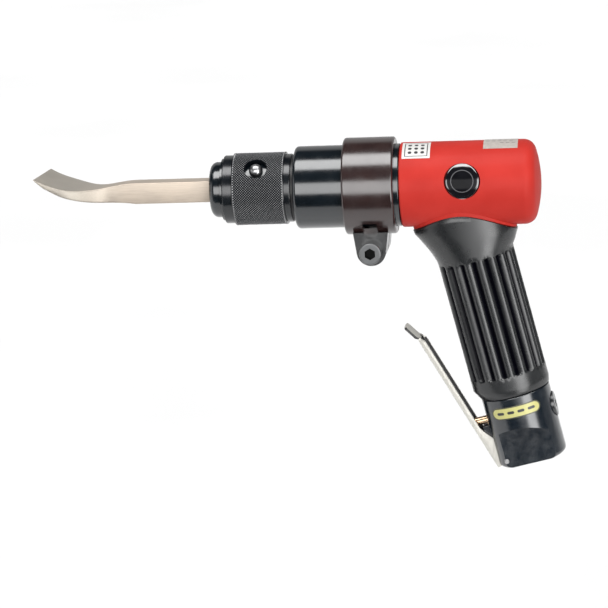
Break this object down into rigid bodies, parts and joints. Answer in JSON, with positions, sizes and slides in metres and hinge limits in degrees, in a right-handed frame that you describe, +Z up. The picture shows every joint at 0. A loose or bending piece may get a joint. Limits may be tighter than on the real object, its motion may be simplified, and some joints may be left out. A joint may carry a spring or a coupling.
{
  "type": "pneumatic air hammer",
  "caption": "Pistol-grip pneumatic chipping hammer with a throttle lever, a clamped exhaust collar, a knurled quick-change sleeve and a flared chisel.",
  "frame": {"origin": "centre of the air inlet mouth, in the bottom face of the handle", "axes": "+Z up with the barrel level; -X forward, the way the chisel points; +Y to the left of a person holding it"},
  "size_m": [0.308, 0.057, 0.2008],
  "materials": {
    "red_paint": "glossy red paint on a cast aluminium housing",
    "gloss_badge": "domed gloss black",
    "label_white": "printed white film",
    "label_silver": "printed silver film",
    "label_yellow": "printed yellow film",
    "grip_rubber": "satin black rubber",
    "black_enamel": "gloss black enamel on cast aluminium",
    "black_oxide": "polished black oxide on steel",
    "brown_black_oxide": "brownish black oxide on turned steel",
    "sleeve_oxide": "black oxide, diamond knurled",
    "seal_rubber": "black nitrile rubber",
    "tool_steel": "turned steel",
    "polished_steel": "polished hardened steel",
    "satin_steel": "satin ground alloy steel",
    "bright_plate": "bright nickel plate on folded sheet",
    "brass": "turned brass"
  },
  "bodies": {
    "tool_body": {"housing": "red_paint", "badge": "gloss_badge", "front_label": "label_white", "rear_label": "label_silver", "grip_sleeve": "grip_rubber", "valve_body": "black_enamel", "oil_label": "label_yellow", "barrel": "black_oxide", "exhaust_collar": "brown_black_oxide", "collar_screw": "black_oxide", "barrel_seal": "seal_rubber", "retainer_body": "black_oxide", "sleeve_washer": "seal_rubber", "snap_ring": "black_oxide", "guide_bushing": "tool_steel", "valve_chest": "tool_steel", "valve_cap": "tool_steel", "rear_cushion": "seal_rubber", "handle_seal": "seal_rubber", "seat_bushing": "brass", "plunger_bushing": "brass", "throttle_cap": "black_enamel", "cap_seal": "seal_rubber", "inlet_bushing": "tool_steel", "inlet_screen": "brass", "lever_pin": "tool_steel", "throttle_spring": "tool_steel"},
    "lever_arm": {"lever": "bright_plate"},
    "throttle": {"plunger": "brass", "throttle_valve": "tool_steel", "throttle_seal": "seal_rubber"},
    "turning_sleeve": {"sleeve": "sleeve_oxide"},
    "locking_pin": {"lock_pin": "polished_steel"},
    "chisel_tool": {"chisel": "satin_steel"},
    "hammer_piston": {"piston": "polished_steel"},
    "air_valve": {"valve_disc": "tool_steel"}
  },
  "joints": [
    {"name": "lever_squeeze", "type": "hinge", "parent": "tool_body", "child": "lever_arm", "pos_m": [-0.01368, 0, 0.00146], "axis": [0, 1, 0], "range_deg": [0, 7.5], "stiffness_Nm_per_rad": 1.2, "springref_deg": -6.88},
    {"name": "throttle_push", "type": "slide", "parent": "tool_body", "child": "throttle", "axis": [0.9744, 0, 0.225], "range_m": [0, 0.0034], "deforming": ["throttle_spring"]},
    {"name": "sleeve_turn", "type": "hinge", "parent": "tool_body", "child": "turning_sleeve", "pos_m": [-0.15469, 0, 0.16759], "axis": [-1, 0, 0], "range_deg": [0, 30]},
    {"name": "lock_pin_slide", "type": "slide", "parent": "tool_body", "child": "locking_pin", "axis": [0, 0.7071, -0.7071], "range_m": [0, 0.003]},
    {"name": "chisel_float", "type": "slide", "parent": "tool_body", "child": "chisel_tool", "axis": [-1, 0, 0], "range_m": [0, 0.008]},
    {"name": "piston_stroke", "type": "slide", "parent": "tool_body", "child": "hammer_piston", "axis": [-1, 0, 0], "range_m": [0, 0.0255]},
    {"name": "valve_shift", "type": "slide", "parent": "tool_body", "child": "air_valve", "axis": [-1, 0, 0], "range_m": [0, 0.0016]}
  ],
  "couplings": [
    {"joint": "throttle_push", "follows": "lever_squeeze", "m_per_rad": 0.025973},
    {"joint": "lock_pin_slide", "follows": "sleeve_turn", "m_per_rad": 0.005729}
  ]
}
